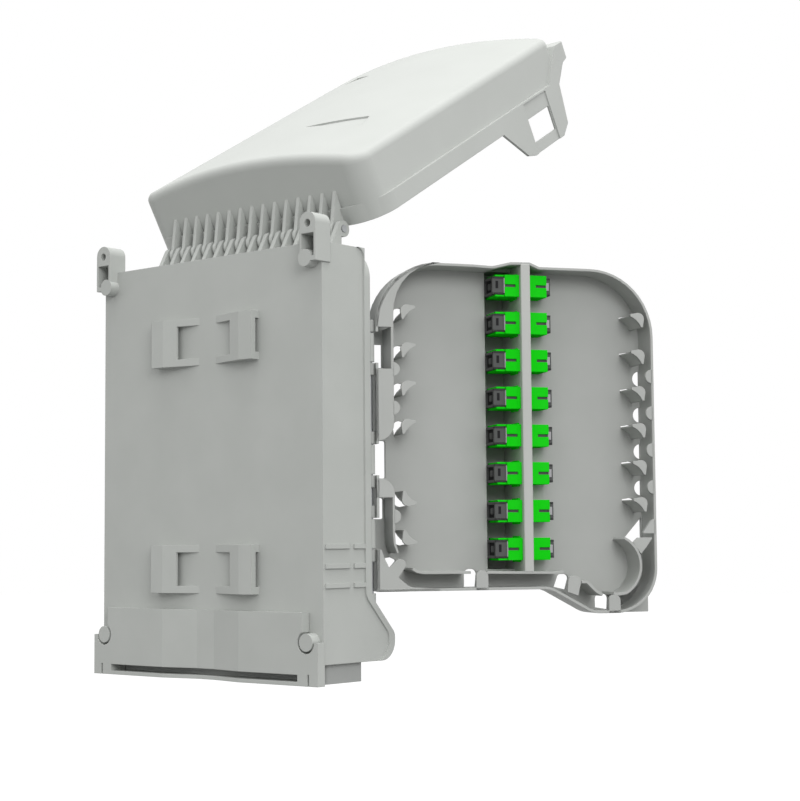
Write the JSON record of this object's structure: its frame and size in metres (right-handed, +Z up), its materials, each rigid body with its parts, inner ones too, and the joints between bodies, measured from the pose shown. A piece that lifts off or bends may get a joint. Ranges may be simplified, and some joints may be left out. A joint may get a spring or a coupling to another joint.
{
  "type": "fibre wall box",
  "caption": "Shallow wall box for optical fibre with a top-hinged domed lid, a swing-out tray of green adapters, ears for two screws and brackets for a strap.",
  "frame": {"origin": "midway between the two ear screw holes, on the wall plane", "axes": "+Z up, +Y into the wall, +X to the right as seen from the front"},
  "size_m": [0.205, 0.1793, 0.3025],
  "materials": {
    "base_housing": "fine-textured grey-white moulding",
    "rear_skirt": "fine-textured grey-white moulding",
    "cable_seal": "matt grey rubber",
    "lid": "fine-textured white moulding",
    "lid_gasket": "matt foam rubber",
    "lid_hinge_pin": "plain wire",
    "adapter_tray": "fine-textured grey-white moulding",
    "adapter_panel": "fine-textured white moulding",
    "adapter_1": "satin bright green shell",
    "adapter_2": "satin bright green shell",
    "adapter_3": "satin bright green shell",
    "adapter_4": "satin bright green shell",
    "adapter_5": "satin bright green shell",
    "adapter_6": "satin bright green shell",
    "adapter_7": "satin bright green shell",
    "adapter_8": "satin bright green shell",
    "tray_hinge_pin": "plain wire",
    "splice_cassette": "matt dark moulding",
    "splice_cover": "clear-looking glossy sheet",
    "splice_sleeves": "glossy shrink tube",
    "cable_clamp": "matt dark moulding",
    "clamp_screws": "zinc-plated"
  },
  "bodies": {
    "box": {"base_housing": "base_housing", "rear_skirt": "rear_skirt", "cable_seal": "cable_seal", "lid_hinge_pin": "lid_hinge_pin", "tray_hinge_pin": "tray_hinge_pin", "splice_cassette": "splice_cassette", "splice_cover": "splice_cover", "splice_sleeves": "splice_sleeves", "cable_clamp": "cable_clamp", "clamp_screws": "clamp_screws"},
    "lid": {"lid": "lid", "lid_gasket": "lid_gasket"},
    "tray": {"adapter_tray": "adapter_tray", "adapter_panel": "adapter_panel", "adapter_1": "adapter_1", "adapter_2": "adapter_2", "adapter_3": "adapter_3", "adapter_4": "adapter_4", "adapter_5": "adapter_5", "adapter_6": "adapter_6", "adapter_7": "adapter_7", "adapter_8": "adapter_8"}
  },
  "joints": [
    {"name": "lid_hinge", "type": "hinge", "parent": "box", "child": "lid", "pos_m": [0, -0.032, 0.003], "axis": [1, 0, 0], "range_deg": [0, 44]},
    {"name": "tray_hinge", "type": "hinge", "parent": "box", "child": "tray", "pos_m": [-0.0644, -0.0355, -0.08], "axis": [0, 0, 1], "range_deg": [0, 123.5]}
  ]
}
